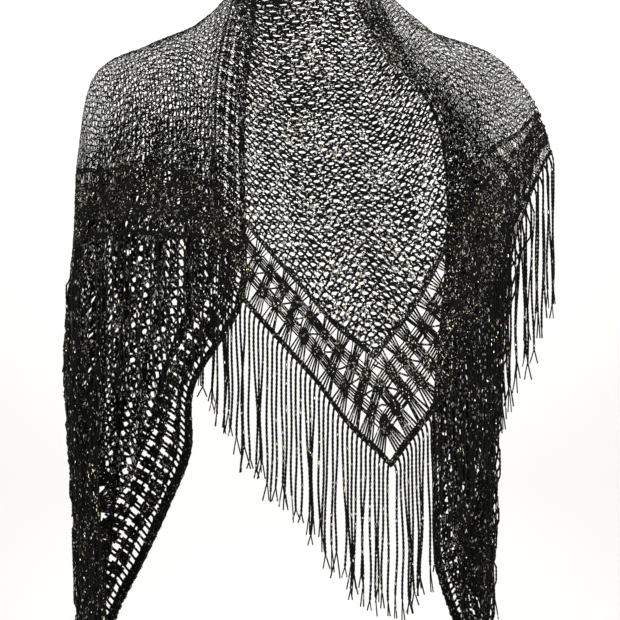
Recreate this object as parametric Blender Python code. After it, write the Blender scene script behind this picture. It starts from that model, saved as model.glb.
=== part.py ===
"""Lace shawl, worn over both shoulders with its point in front and its two tails hanging behind.

The shawl is one cloth, knitted as a triangle with a right-angled point.  A flat chart of that
cloth is draped into place: every point of the chart lies on a rib, a line that runs from the
plain edge at the neck or the back to the fringed edge.  A table gives each rib five places in
space, and folds and pleats are raised on the surface that goes smoothly through them.
Lengths are in millimetres until the meshes are made.
"""

import math

import bmesh
import bpy
import numpy as np
from mathutils import Vector

MM = 0.001

# Driving dimensions of the cloth
DEPTH = 560.0  # from the point to the middle of the neckline, along the cloth
WALL = 1.2  # thickness of the lace
SEAM = 0.3  # gap between two pieces that are knitted together
HEM_SEAM = 0.4  # the same between the net and its borders, which bend together
PITCH = 19.0  # one repeat of the spider lace, both ways
EDGE_BORDER = 28.0  # width of the narrow border along the neck and the tails' inner edges
HEM_LINES = (3.0, 15.0, 34.0, 53.0)  # braid, first and second row of spiders, inner rib
HEM_HOLE = 0.48  # side of a lozenge gap in the hem border, as a share of its cell
EDGE_HOLE = 0.46  # the same in the narrow border

# Driving dimensions of the fringe
BRAID = (-2.0, 2.55)  # the braid's outer and inner line, measured inwards from the hem
BRAID_THICK = 2.0
FRINGE = 143.0
FRINGE_VARIES = 9.0
STRAND = 1.7  # thickness of one strand at its root
STRAND_END = 1.3
ROOT_OUT = 3.0  # a strand leaves the braid outwards,
ROOT_DOWN = 6.5  # and has turned straight down here
LANE = 2.6  # every second strand of a tail hangs this far outside its neighbours
SWING = 1.5  # how far the strands' ends sway to and fro along the hem
SWING_TURN = 0.21  # the sway's angle from one strand to the next
# Columns: angle from one strand to the next, angle of the first, share of the whole
UNEVEN_WAVES = ((2.399, 0.0, 0.6), (0.73, 1.1, 0.4))

# How the cloth is divided, in repeats along each fringed edge, counted from the corner block
CREASE = 10  # the front panel ends at the crease beside each breast
SHOULDER_END = {"left": 20, "right": 18}  # the shoulder panel ends where the tail begins
TAIL_STEP = 2  # repeats between the sections of a tail
TIP_WIDTH = 115.0  # where the tail is narrower than this, its tip begins
TIP_BORDER = 0.6  # the hem border's share of the narrow end
TIP_END = 42.0  # the last section of a tail, measured from the end of its edge
LAST_RIB = 0.96  # the last rib starts at this share of the plain edge
FRONT_ROWS = 8
SHOULDER_ROWS = 12
TAIL_ROWS = 18
NARROW_STOP = 0.3  # least share of a tip's sections that lies between its two borders
TIP_SECTIONS = 4

# One row for each rib, from the left tail's tip to the right tail's tip.
# Columns: name, plain edge, upper support, middle, lower support, fringed edge, each (x, y, z).
RIBS = (
    ("left tip", (-200, 82, -600), (-202, 81, -607), (-204, 80, -616), (-206, 79, -627), (-207, 78, -642)),
    ("left tail 8", (-184, 84, -548), (-193, 86, -553), (-202, 85, -561), (-209, 80, -575), (-212, 70, -618)),
    ("left tail 7", (-158, 86, -495), (-176, 90, -500), (-196, 90, -508), (-211, 82, -524), (-215, 60, -588)),
    ("left tail 6", (-133, 88, -440), (-160, 92, -442), (-190, 92, -448), (-212, 82, -468), (-217, 46, -550)),
    ("left tail 5", (-112, 90, -385), (-145, 94, -382), (-184, 93, -385), (-214, 78, -410), (-218, 30, -503)),
    ("left tail 4", (-108, 90, -318), (-140, 94, -312), (-182, 92, -318), (-215, 72, -350), (-218, 12, -448)),
    ("left tail 3", (-60, 86, -235), (-112, 94, -225), (-172, 90, -232), (-215, 62, -275), (-218, -8, -388)),
    ("left tail 2", (-57, 86, -155), (-116, 94, -140), (-180, 88, -150), (-215, 48, -205), (-218, -26, -325)),
    ("left tail 1", (-57, 86, -80), (-124, 92, -60), (-188, 78, -70), (-214, 28, -140), (-217, -42, -262)),
    ("left arm", (-54, 80, -18), (-132, 70, -4), (-196, 36, -16), (-212, -14, -96), (-215, -56, -200)),
    ("left arm front", (-48, 70, 30), (-130, 45, 14), (-193, -2, -6), (-207, -52, -84), (-205, -80, -176)),
    ("left shoulder", (-44, 56, 68), (-120, 22, 26), (-166, -32, -2), (-172, -78, -82), (-170, -94, -171)),
    ("left collarbone", (-50, 42, 86), (-95, 2, 40), (-120, -50, 8), (-128, -92, -75), (-128, -106, -172)),
    ("left neck side", (-58, 22, 92), (-80, -18, 42), (-84, -78, -15), (-84, -108, -100), (-81, -118, -179)),
    ("left crease", (-60, -8, 96), (-62, -64, 30), (-60, -108, -58), (-57, -124, -142), (-57, -124, -225)),
    ("left breast", (-40, -46, 95), (-28, -84, -2), (-14, -112, -105), (0, -122, -205), (12, -120, -303)),
    ("point", (5, -62, 95), (25, -86, -15), (45, -112, -140), (65, -120, -262), (84, -114, -385)),
    ("right breast", (45, -42, 95), (62, -80, 5), (92, -108, -88), (122, -118, -184), (152, -112, -280)),
    ("right crease", (60, -6, 95), (92, -42, 42), (124, -86, -24), (158, -104, -104), (190, -98, -180)),
    ("right collarbone", (56, 26, 88), (106, -10, 38), (152, -52, 4), (190, -78, -60), (214, -80, -134)),
    ("right shoulder", (54, 48, 74), (116, 18, 32), (176, -20, 8), (212, -46, -40), (235, -60, -95)),
    ("right arm", (66, 63, 44), (126, 43, 22), (186, 10, 4), (219, -14, -44), (234, -34, -100)),
    ("right arm back", (94, 74, 8), (140, 64, 4), (184, 42, -14), (211, 14, -74), (220, -16, -138)),
    ("right tail 1", (134, 84, -42), (154, 84, -42), (178, 72, -60), (197, 42, -118), (205, -6, -190)),
    ("right tail 2", (148, 88, -114), (160, 93, -112), (176, 86, -132), (190, 62, -185), (197, 4, -255)),
    ("right tail 3", (147, 90, -198), (158, 95, -196), (172, 92, -210), (187, 72, -255), (193, 14, -322)),
    ("right tail 4", (140, 90, -282), (152, 95, -280), (167, 94, -290), (185, 78, -325), (191, 24, -388)),
    ("right tail 5", (134, 90, -362), (148, 94, -362), (164, 94, -368), (183, 82, -395), (190, 36, -450)),
    ("right tail 6", (136, 88, -430), (149, 92, -432), (165, 92, -438), (181, 83, -460), (189, 48, -508)),
    ("right tail 7", (137, 86, -498), (150, 90, -500), (164, 90, -506), (178, 84, -520), (187, 60, -558)),
    ("right tail 8", (152, 84, -550), (160, 86, -554), (168, 86, -560), (177, 82, -572), (184, 72, -598)),
    ("right tip", (168, 82, -595), (171, 81, -601), (174, 80, -608), (177, 79, -617), (180, 78, -628)),
)

# Folds of the front and the shoulders, each along a rib.
# Columns: name, rib it lies on, half width in ribs, start and end along the rib, height outwards.
FOLDS = (
    ("left roll", 13.55, 0.75, 0.05, 1.25, 13.0),
    ("left crease", 14.45, 0.45, 0.10, 1.20, -6.0),
    ("centre wrinkle", 16.35, 0.22, 0.35, 1.00, 4.0),
    ("left breast fold", 15.2, 0.35, 0.15, 0.75, -3.0),
    ("right roll", 18.35, 0.60, 0.05, 1.10, 9.0),
    ("right crease", 17.75, 0.40, 0.10, 0.95, -5.0),
    ("left arm fold", 11.45, 0.45, 0.40, 1.25, 7.0),
    ("left arm fold behind", 10.55, 0.40, 0.45, 1.20, -6.0),
    ("left collar fold", 12.5, 0.40, 0.25, 1.00, 5.0),
    ("right arm fold", 19.5, 0.40, 0.35, 1.10, -6.0),
    ("right arm roll", 20.5, 0.40, 0.40, 1.20, 5.0),
)

# Pleats of the tails, each running down the tail.
# Columns: side, place along the rib, half width along the rib, height outwards.
PLEATS = (
    ("left", 0.12, 0.085, 13.0),
    ("left", 0.30, 0.075, 16.0),
    ("left", 0.47, 0.080, 14.0),
    ("left", 0.66, 0.085, 11.0),
    ("left", 0.85, 0.080, 12.0),
    ("right", 0.13, 0.085, 11.0),
    ("right", 0.32, 0.080, 14.0),
    ("right", 0.50, 0.075, 12.0),
    ("right", 0.68, 0.085, 9.0),
    ("right", 0.87, 0.080, 10.0),
)
PLEAT_SHRINK = 2.2  # how fast the pleats flatten as the tail narrows
PLEATS_FROM = {"left": 9.0, "right": 22.0}  # the rib where a tail's pleats begin to open
PLEATS_FULL = {"left": 6.5, "right": 24.5}  # the rib where they have their whole height
PLEAT_TAIL_WIDTH = 300.0  # a rib this long has the heights of the table; shorter ones have less

STEP_RIB = 0.02  # steps that the cloth's slope is measured over
STEP_SHARE = 0.01
SEARCH_STEPS = 36  # halvings that find the rib of a chart point
SAME_PLACE = 0.01  # corners of two cells this close are one

MIDDLE = 16  # the row of the point
PLACES = np.array([row[1:] for row in RIBS], dtype=float)

COLOURS = {
    "net": (0.016, 0.016, 0.015, 1.0),
    "border": (0.024, 0.023, 0.019, 1.0),
    "fringe": (0.012, 0.012, 0.011, 1.0),
}
YARN_ROUGHNESS = 0.55
YARN_METALLIC = 0.25


def clear_scene():
    for thing in list(bpy.data.objects):
        bpy.data.objects.remove(thing, do_unlink=True)


def padded(rows):
    """The rows with one more at each end, carried straight on."""
    first = 2 * rows[:1] - rows[1:2]
    last = 2 * rows[-1:] - rows[-2:-1]
    return np.concatenate([first, rows, last])


def spline_weights(share):
    """Weights of the four rows around a place on a Catmull-Rom spline."""
    return np.stack(
        [
            -0.5 * share + share**2 - 0.5 * share**3,
            1 - 2.5 * share**2 + 1.5 * share**3,
            0.5 * share + 2 * share**2 - 1.5 * share**3,
            -0.5 * share**2 + 0.5 * share**3,
        ],
        axis=1,
    )


def through(rows, where):
    """A smooth line through evenly counted rows, read at the places where (0 is the first row)."""
    start = np.clip(np.floor(where).astype(int), 0, len(rows) - 2)
    weights = spline_weights(where - start)
    around = padded(rows)[start[:, None] + np.arange(4)]
    return np.einsum("nk,nk...->n...", weights, around)


def along(points):
    """Length from the point's row to each row, negative on the left."""
    steps = np.linalg.norm(np.diff(points, axis=0), axis=1)
    length = np.concatenate([[0.0], np.cumsum(steps)])
    return length - length[MIDDLE]


LEG_AT = along(PLACES[:, -1])
EDGE_AT = along(PLACES[:, 0])
LEG = {"left": -LEG_AT[0], "right": LEG_AT[-1]}
NECK = np.array([DEPTH, DEPTH]) / math.sqrt(2)


def chart_leg(leg):
    """Chart place on the fringed edges: the left one is the first axis, the right one the second."""
    return np.stack([np.maximum(-leg, 0), np.maximum(leg, 0)], axis=1)


def chart_edge(edge):
    """Chart place on the plain edge, which runs straight from the neckline to each tip."""
    share_left = LAST_RIB * np.clip(edge / EDGE_AT[0], 0, 1)[:, None]
    share_right = LAST_RIB * np.clip(edge / EDGE_AT[-1], 0, 1)[:, None]
    tip_left = np.array([LEG["left"], 0.0])
    tip_right = np.array([0.0, LEG["right"]])
    return NECK + share_left * (tip_left - NECK) + share_right * (tip_right - NECK)


def rib_ends(rib):
    """Chart ends of the ribs: on the plain edge and on the fringed edge."""
    edge = through(EDGE_AT[:, None], rib)[:, 0]
    leg = through(LEG_AT[:, None], rib)[:, 0]
    return chart_edge(edge), chart_leg(leg)


def find_rib(chart):
    """The rib that each chart point lies on, and how far along it the point is."""
    low = np.zeros(len(chart))
    high = np.full(len(chart), len(RIBS) - 1.0)
    for _ in range(SEARCH_STEPS):
        middle = (low + high) / 2
        edge, leg = rib_ends(middle)
        down = leg - edge
        off = chart - edge
        beyond = down[:, 0] * off[:, 1] - down[:, 1] * off[:, 0] < 0
        low = np.where(beyond, middle, low)
        high = np.where(beyond, high, middle)
    rib = (low + high) / 2
    edge, leg = rib_ends(rib)
    down = leg - edge
    share = np.sum((chart - edge) * down, axis=1) / np.sum(down * down, axis=1)
    return rib, share


def smooth_surface(rib, share):
    """The cloth without its folds: across the ribs, then along them."""
    rows = through(PLACES, rib)
    count = rows.shape[1]
    first = 2 * rows[:, :1] - rows[:, 1:2]
    last = 2 * rows[:, -1:] - rows[:, -2:-1]
    rows = np.concatenate([first, rows, last], axis=1)
    where = share * (count - 1)
    start = np.clip(np.floor(where).astype(int), 0, count - 2)
    weights = spline_weights(where - start)
    picked = np.take_along_axis(rows, (start[:, None] + np.arange(4))[:, :, None], axis=1)
    return np.einsum("nk,nkc->nc", weights, picked)


def hump(distance, half_width):
    """A soft ridge: 1 in the middle, 0 from the half width on."""
    near = np.clip(np.abs(distance) / half_width, 0, 1)
    return 0.5 + 0.5 * np.cos(math.pi * near)


def fade(value, start, end):
    """0 before start, 1 after end, smooth between them."""
    share = np.clip((value - start) / (end - start), 0, 1)
    return share * share * (3 - 2 * share)


def raised(rib, share):
    """Height of the folds and pleats, outwards from the wearer."""
    height = np.zeros(len(rib))
    for _, on_rib, half_ribs, start, end, tall in FOLDS:
        length = (end - start) / 2
        height += tall * hump(rib - on_rib, half_ribs) * hump(share - start - length, length)
    rows = through(PLACES, rib)
    width = np.linalg.norm(np.diff(rows, axis=1), axis=2).sum(axis=1)
    narrow = np.clip(width / PLEAT_TAIL_WIDTH, 0, 1) ** PLEAT_SHRINK
    for side, place, half, tall in PLEATS:
        opened = fade(rib, PLEATS_FROM[side], PLEATS_FULL[side])
        height += tall * opened * narrow * hump(share - place, half)
    return height


def outwards(surface, rib, share):
    """Unit normal of a surface, away from the wearer."""
    across = surface(rib + STEP_RIB, share) - surface(rib - STEP_RIB, share)
    down = surface(rib, share + STEP_SHARE) - surface(rib, share - STEP_SHARE)
    out = np.cross(down, across)
    return out / np.linalg.norm(out, axis=1)[:, None]


def folded_surface(rib, share):
    """The cloth with its folds and pleats."""
    out = outwards(smooth_surface, rib, share)
    return smooth_surface(rib, share) + out * raised(rib, share)[:, None]


def drape(chart, lift=0.0):
    """Places in space of chart points, lifted outwards from the middle of the cloth."""
    rib, share = find_rib(np.asarray(chart, dtype=float))
    places = folded_surface(rib, share)
    if lift:
        places = places + outwards(folded_surface, rib, share) * lift
    return places


def on_leg(side, distance, inward):
    """Chart point at a distance along one fringed edge and a distance in from it."""
    if side == "left":
        return (distance, inward)
    return (inward, distance)


def cloth_width(side, distance):
    """Width of the chart, square to the fringed edge, at a distance along it."""
    inner = NECK[0]
    return inner * (LEG[side] - distance) / (LEG[side] - NECK[0])


def leg_place(repeat):
    """Distance along the fringed edge of a repeat line of the border."""
    return HEM_LINES[-1] + repeat * PITCH


def rib_from(side, knot, shares, shift=0.0):
    """Chart points from a knot on a rib to the plain edge, moved along the cloth by the shift."""
    rib, _ = find_rib(np.array([knot]))
    edge, _ = rib_ends(rib)
    start = np.array(knot)
    run = edge[0] - start
    square = np.array([run[1], -run[0]]) / np.linalg.norm(run)
    if side == "right":
        square = -square
    return [start + run * share + square * shift for share in shares]


def edge_share(side, knot):
    """Where the narrow border starts, as a share of a rib from its knot, and the share of a seam."""
    rib, _ = find_rib(np.array([knot]))
    edge, _ = rib_ends(rib)
    tip = np.array(on_leg(side, LEG[side], 0.0))
    run = (tip - NECK) / np.linalg.norm(tip - NECK)
    off = knot - NECK
    distance = abs(run[0] * off[1] - run[1] * off[0])
    return 1 - EDGE_BORDER / distance, HEM_SEAM / np.linalg.norm(edge[0] - knot)


def section(side, distance, rows, shift=0.0):
    """One section of a net panel and its narrow border, as two lists of chart points."""
    knot = np.array(on_leg(side, distance, HEM_LINES[-1]))
    stop, gap = edge_share(side, knot)
    net = rib_from(side, knot, np.linspace(gap, stop, rows + 1), shift)
    border = rib_from(side, knot, (stop + gap, 1.0), shift)
    return net, border


def colour_of(kind):
    name = f"lace {kind}"
    known = bpy.data.materials.get(name)
    if known:
        return known
    material = bpy.data.materials.new(name)
    material.use_nodes = True
    shader = material.node_tree.nodes["Principled BSDF"]
    shader.inputs["Base Color"].default_value = COLOURS[kind]
    shader.inputs["Roughness"].default_value = YARN_ROUGHNESS
    shader.inputs["Metallic"].default_value = YARN_METALLIC
    return material


def keep(name, shape, kind):
    """Make a named object from a finished shape."""
    bmesh.ops.recalc_face_normals(shape, faces=shape.faces)
    bmesh.ops.triangulate(shape, faces=shape.faces, quad_method="SHORT_EDGE")
    mesh = bpy.data.meshes.new(name)
    shape.to_mesh(mesh)
    shape.free()
    thing = bpy.data.objects.new(name, mesh)
    thing.data.materials.append(colour_of(kind))
    bpy.context.scene.collection.objects.link(thing)


class Cloth:
    """The outer face of a piece, kept with its inner face, for a wall of even thickness."""

    def __init__(self):
        self.shape = bmesh.new()
        self.number = self.shape.verts.layers.int.new("place")
        self.inner = []

    def corner(self, outer, inner):
        vertex = self.shape.verts.new(Vector(outer) * MM)
        vertex[self.number] = len(self.inner)
        self.inner.append(Vector(inner))
        return vertex

    def corners(self, chart):
        outer = drape(chart, WALL / 2)
        inner = drape(chart, -WALL / 2)
        return [self.corner(*pair) for pair in zip(outer, inner)]

    def middle(self, corners):
        """The middle of some corners, on the outer and on the inner face."""
        outer = sum((corner.co for corner in corners), Vector()) / len(corners) / MM
        inner = sum((self.inner[corner[self.number]] for corner in corners), Vector()) / len(corners)
        return outer, inner

    def between(self, edge, cell, share):
        """A corner between the middle of an edge and the middle of its cell."""
        edge_outer, edge_inner = self.middle(edge)
        cell_outer, cell_inner = self.middle(cell)
        return self.corner(cell_outer.lerp(edge_outer, share), cell_inner.lerp(edge_inner, share))

    def cell(self, cell, hole=0.0):
        """A cell of the lace, with a lozenge gap in its middle if a share is given."""
        if not hole:
            self.shape.faces.new(cell)
            return
        ring = [self.between((cell[i], cell[i - 3]), cell, hole) for i in range(4)]
        for i in range(4):
            after = i - 3
            self.shape.faces.new((cell[i], cell[after], ring[i]))
            self.shape.faces.new((cell[after], ring[after], ring[i]))

    def finish(self, name, kind):
        """Draw the inner face out of the outer one, and close the rims."""
        bmesh.ops.remove_doubles(self.shape, verts=self.shape.verts, dist=SAME_PLACE * MM)
        outer = set(self.shape.verts)
        bmesh.ops.extrude_face_region(self.shape, geom=list(self.shape.faces), use_keep_orig=True)
        for vertex in self.shape.verts:
            if vertex not in outer:
                vertex.co = self.inner[vertex[self.number]] * MM
        keep(name, self.shape, kind)


def sheet(name, sections, kind, hole=0.0):
    """A wall through sections of chart points."""
    cloth = Cloth()
    grid = [cloth.corners(points) for points in sections]
    for line, after in zip(grid, grid[1:]):
        for i in range(len(line) - 1):
            cloth.cell((line[i], line[i + 1], after[i + 1], after[i]), hole)
    cloth.finish(name, kind)


def border_column(cloth, side, distance):
    return cloth.corners([on_leg(side, distance, line) for line in HEM_LINES])


def column_between(cloth, before, after):
    """A column halfway between two others, on the straight lines that join them."""
    column = []
    for pair in zip(before, after):
        column.append(cloth.corner(*cloth.middle(pair)))
    return column


def border_cells(cloth, columns, holed_rows):
    """Cells of the hem border between its columns, with gaps in the rows that are named."""
    for line, after in zip(columns, columns[1:]):
        for row in range(len(HEM_LINES) - 1):
            cell = (line[row], line[row + 1], after[row + 1], after[row])
            cloth.cell(cell, HEM_HOLE if row in holed_rows else 0.0)


ALL_ROWS = (0, 1, 2)
MIDDLE_ROW = (1,)


def front_border():
    """The border of both edges in front, with the block of cells that they share at the point."""
    cloth = Cloth()
    block = [cloth.corners([(first, second) for second in HEM_LINES]) for first in HEM_LINES]
    border_cells(cloth, block, ALL_ROWS)
    for side in ("left", "right"):
        columns = [border_column(cloth, side, leg_place(repeat)) for repeat in range(CREASE)]
        columns.append(border_column(cloth, side, leg_place(CREASE) - SEAM / 2))
        border_cells(cloth, columns, ALL_ROWS)
    cloth.finish("front_border", "border")


def side_border(name, side, first, last, step, holed_rows):
    """A length of the hem border between two repeats, parted from its neighbours by a seam."""
    cloth = Cloth()
    columns = [border_column(cloth, side, distance) for distance in leg_distances(first, last, step)]
    if step == TAIL_STEP:
        finer = [columns[0]]
        for before, after in zip(columns, columns[1:]):
            finer += [column_between(cloth, before, after), after]
        columns = finer
    border_cells(cloth, columns, holed_rows)
    cloth.finish(name, "border")


def leg_distances(first, last, step):
    """Distances of the repeats first to last, drawn in from the seams at both ends."""
    repeats = list(range(first, last, step)) + [last]
    distances = [leg_place(repeat) for repeat in repeats]
    distances[0] += SEAM / 2
    distances[-1] -= SEAM / 2
    return distances


def tail_end(side):
    """The last repeat where the tail still has net between its two borders."""
    repeat = SHOULDER_END[side]
    while cloth_width(side, leg_place(repeat + TAIL_STEP)) > TIP_WIDTH:
        repeat += TAIL_STEP
    return repeat


def net_panel(side, first, last, step, rows, name):
    """The net of one panel and the narrow border that finishes it, on one side of the body."""
    repeats = list(range(first, last, step)) + [last]
    nets = []
    borders = []
    for repeat in repeats:
        shift = 0.0
        if repeat == first:
            shift = SEAM / 2
        if repeat == last:
            shift = -SEAM / 2
        net, border = section(side, leg_place(repeat), rows, shift)
        nets.append(net)
        borders.append(border)
    sheet(f"{side}_{name}_net", nets, "net")
    sheet(f"{side}_{name}_edge", borders, "border", EDGE_HOLE)


def front_net():
    """The front panel, from crease to crease, and the neckline above it."""
    nets = []
    borders = []
    for repeat in range(CREASE, 0, -1):
        shift = -SEAM / 2 if repeat == CREASE else 0.0
        net, border = section("left", leg_place(repeat), FRONT_ROWS, shift)
        nets.append(net)
        borders.append(border)
    for repeat in range(CREASE + 1):
        shift = -SEAM / 2 if repeat == CREASE else 0.0
        net, border = section("right", leg_place(repeat), FRONT_ROWS, shift)
        nets.append(net)
        borders.append(border)
    sheet("front_net", nets, "net")
    sheet("neckline", borders, "border", EDGE_HOLE)


def tip_section(side, distance, shift):
    """A whole section of a tail's tip, from the braid across the hem border to the plain edge."""
    outer, inner = HEM_LINES[0], HEM_LINES[-1]
    squeeze = min(1.0, (TIP_BORDER * cloth_width(side, distance) - outer) / (inner - outer))
    lines = [outer + (line - outer) * squeeze for line in HEM_LINES]
    hem = [np.array(on_leg(side, distance + shift, line)) for line in lines]
    knot = np.array(on_leg(side, distance, lines[-1]))
    stop, _ = edge_share(side, knot)
    shares = list(np.linspace(0.0, max(stop, NARROW_STOP), TAIL_ROWS + 1)[1:]) + [1.0]
    return hem + rib_from(side, knot, shares, shift)


def tip_distances(side):
    return np.linspace(leg_place(tail_end(side)), LEG[side] - TIP_END, TIP_SECTIONS + 1)


def tail_tip(side):
    """The end of a tail, where the two borders have met."""
    shifts = [SEAM / 2] + [0.0] * TIP_SECTIONS
    places = zip(tip_distances(side), shifts)
    sheet(f"{side}_tail_tip", [tip_section(side, *place) for place in places], "border")


def unevenness(number):
    """A steady, uneven value from -1 to 1 for a strand's number."""
    return sum(math.sin(number * turn + start) * share for turn, start, share in UNEVEN_WAVES)


def braid_stations(side, distances, strands):
    """Corners of the braid at every strand, on straight chords between the border's columns."""
    lines = [(BRAID[0], 1), (BRAID[0], -1), (BRAID[1], -1), (BRAID[1], 1)]
    corners = []
    for line, face in lines:
        points = [on_leg(side, max(distance, line + SEAM / 2), line) for distance in distances]
        corners.append(drape(points, face * BRAID_THICK / 2))
    stations = np.stack(corners, axis=1)
    finer = [stations[0]]
    for before, after in zip(stations, stations[1:]):
        for number in range(1, strands + 1):
            finer.append(before + (after - before) * number / strands)
    return finer


def hang_strand(shape, root, corners, number, laned):
    """Draw one strand out of a face of the braid, turn it down and let it hang."""
    front_start, back_start, back_end, front_end = [corner.co.copy() for corner in corners]
    centre = (front_start + back_start + back_end + front_end) / 4
    run = ((front_end + back_end) - (front_start + back_start)).normalized()
    face = ((front_start + front_end) - (back_start + back_end)).normalized()
    outward = root.normal.normalized()
    down = Vector((0, 0, -1))
    turn = outward.rotation_difference(down)
    across = turn @ run
    thick = turn @ face
    lane = LANE * MM * (number % 2) if laned else 0.0
    knee = centre + outward * ROOT_OUT * MM + down * ROOT_DOWN * MM + face * lane
    length = (FRINGE + FRINGE_VARIES * unevenness(number)) * MM
    swing = across * SWING * MM * math.sin(number * SWING_TURN)
    signs = dict(zip(corners, ((-1, 1), (-1, -1), (1, -1), (1, 1))))
    order = [signs[vertex] for vertex in root.verts]
    sections = ((knee, STRAND), (knee + down * (length - ROOT_DOWN * MM) + swing, STRAND_END))
    for place, size in sections:
        made = bmesh.ops.extrude_discrete_faces(shape, faces=[root])
        root = made["faces"][0]
        half = size * MM / 2
        for vertex, (run_sign, face_sign) in zip(root.verts, order):
            vertex.co = place + across * half * run_sign + thick * half * face_sign


def fringe(name, side, distances, strands, laned=False):
    """A length of the edge braid with its strands."""
    stations = braid_stations(side, distances, strands)
    shape = bmesh.new()
    rings = [[shape.verts.new(Vector(corner) * MM) for corner in ring] for ring in stations]
    roots = []
    for ring, after in zip(rings, rings[1:]):
        corners = (ring[0], ring[1], after[1], after[0])
        roots.append((shape.faces.new(corners), corners))
        for i in range(1, 4):
            j = (i + 1) % 4
            shape.faces.new((ring[i], ring[j], after[j], after[i]))
    shape.faces.new(rings[0])
    shape.faces.new(rings[-1])
    bmesh.ops.recalc_face_normals(shape, faces=shape.faces)
    shape.normal_update()
    for number, (root, corners) in enumerate(roots):
        hang_strand(shape, root, corners, number, laned)
    keep(name, shape, "fringe")


def all_fringes():
    for side in ("left", "right"):
        shoulder_end = SHOULDER_END[side]
        end = tail_end(side)
        front = [0.0, *HEM_LINES[1:-1], *leg_distances(0, CREASE, 1)]
        tip = list(tip_distances(side)[1:])
        tail = leg_distances(shoulder_end, end, TAIL_STEP)
        tail[-1] = leg_place(end) + SEAM / 2
        fringe(f"fringe_front_{side}", side, front, 2)
        fringe(f"fringe_{side}_arm", side, leg_distances(CREASE, shoulder_end, 1), 2)
        fringe(f"fringe_{side}_tail", side, tail + tip, 3, True)


def build():
    clear_scene()
    front_net()
    front_border()
    for side in ("left", "right"):
        shoulder_end = SHOULDER_END[side]
        end = tail_end(side)
        net_panel(side, CREASE, shoulder_end, 1, SHOULDER_ROWS, "shoulder")
        net_panel(side, shoulder_end, end, TAIL_STEP, TAIL_ROWS, "tail")
        side_border(f"{side}_arm_border", side, CREASE, shoulder_end, 1, ALL_ROWS)
        side_border(f"{side}_tail_border", side, shoulder_end, end, TAIL_STEP, MIDDLE_ROW)
        tail_tip(side)
    all_fringes()


build()
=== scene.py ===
"""Looks of a lace shawl, worn point forward, with its two tails hanging behind the shoulders.

Lengths are in millimetres until a wire is draped, and every place on the cloth is first a place
on its flat chart: the first axis runs along the left fringed edge, the second along the right one.
"""

import math

import bmesh
import bpy
import numpy as np
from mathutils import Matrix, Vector


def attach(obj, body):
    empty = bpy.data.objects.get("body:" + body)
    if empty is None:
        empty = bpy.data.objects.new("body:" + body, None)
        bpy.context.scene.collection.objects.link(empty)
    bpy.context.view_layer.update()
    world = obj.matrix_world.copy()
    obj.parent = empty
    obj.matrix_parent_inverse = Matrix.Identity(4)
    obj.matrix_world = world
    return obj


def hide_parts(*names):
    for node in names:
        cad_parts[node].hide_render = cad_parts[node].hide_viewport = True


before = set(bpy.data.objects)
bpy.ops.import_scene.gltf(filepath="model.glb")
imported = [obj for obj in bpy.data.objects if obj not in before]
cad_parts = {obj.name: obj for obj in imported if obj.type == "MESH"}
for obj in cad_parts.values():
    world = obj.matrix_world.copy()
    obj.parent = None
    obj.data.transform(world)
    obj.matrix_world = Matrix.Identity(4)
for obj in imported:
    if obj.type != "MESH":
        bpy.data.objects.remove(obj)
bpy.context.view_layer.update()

# The net
# Fine black yarn with a metallic thread, knitted as one even lace: rows of lens-shaped eyelets
# with two rows of small gaps between them.  It hangs from the neckline and the shoulders.

MM = 0.001
DEPTH = 560.0  # from the point to the middle of the neckline, along the cloth
LAST_RIB = 0.96  # the last rib starts at this share of the plain edge
HEM_WIDTH = 53.0
EDGE_WIDTH = 28.0
CREASE_AT = 243.0  # where the creases beside the front net meet the fringed edges

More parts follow.
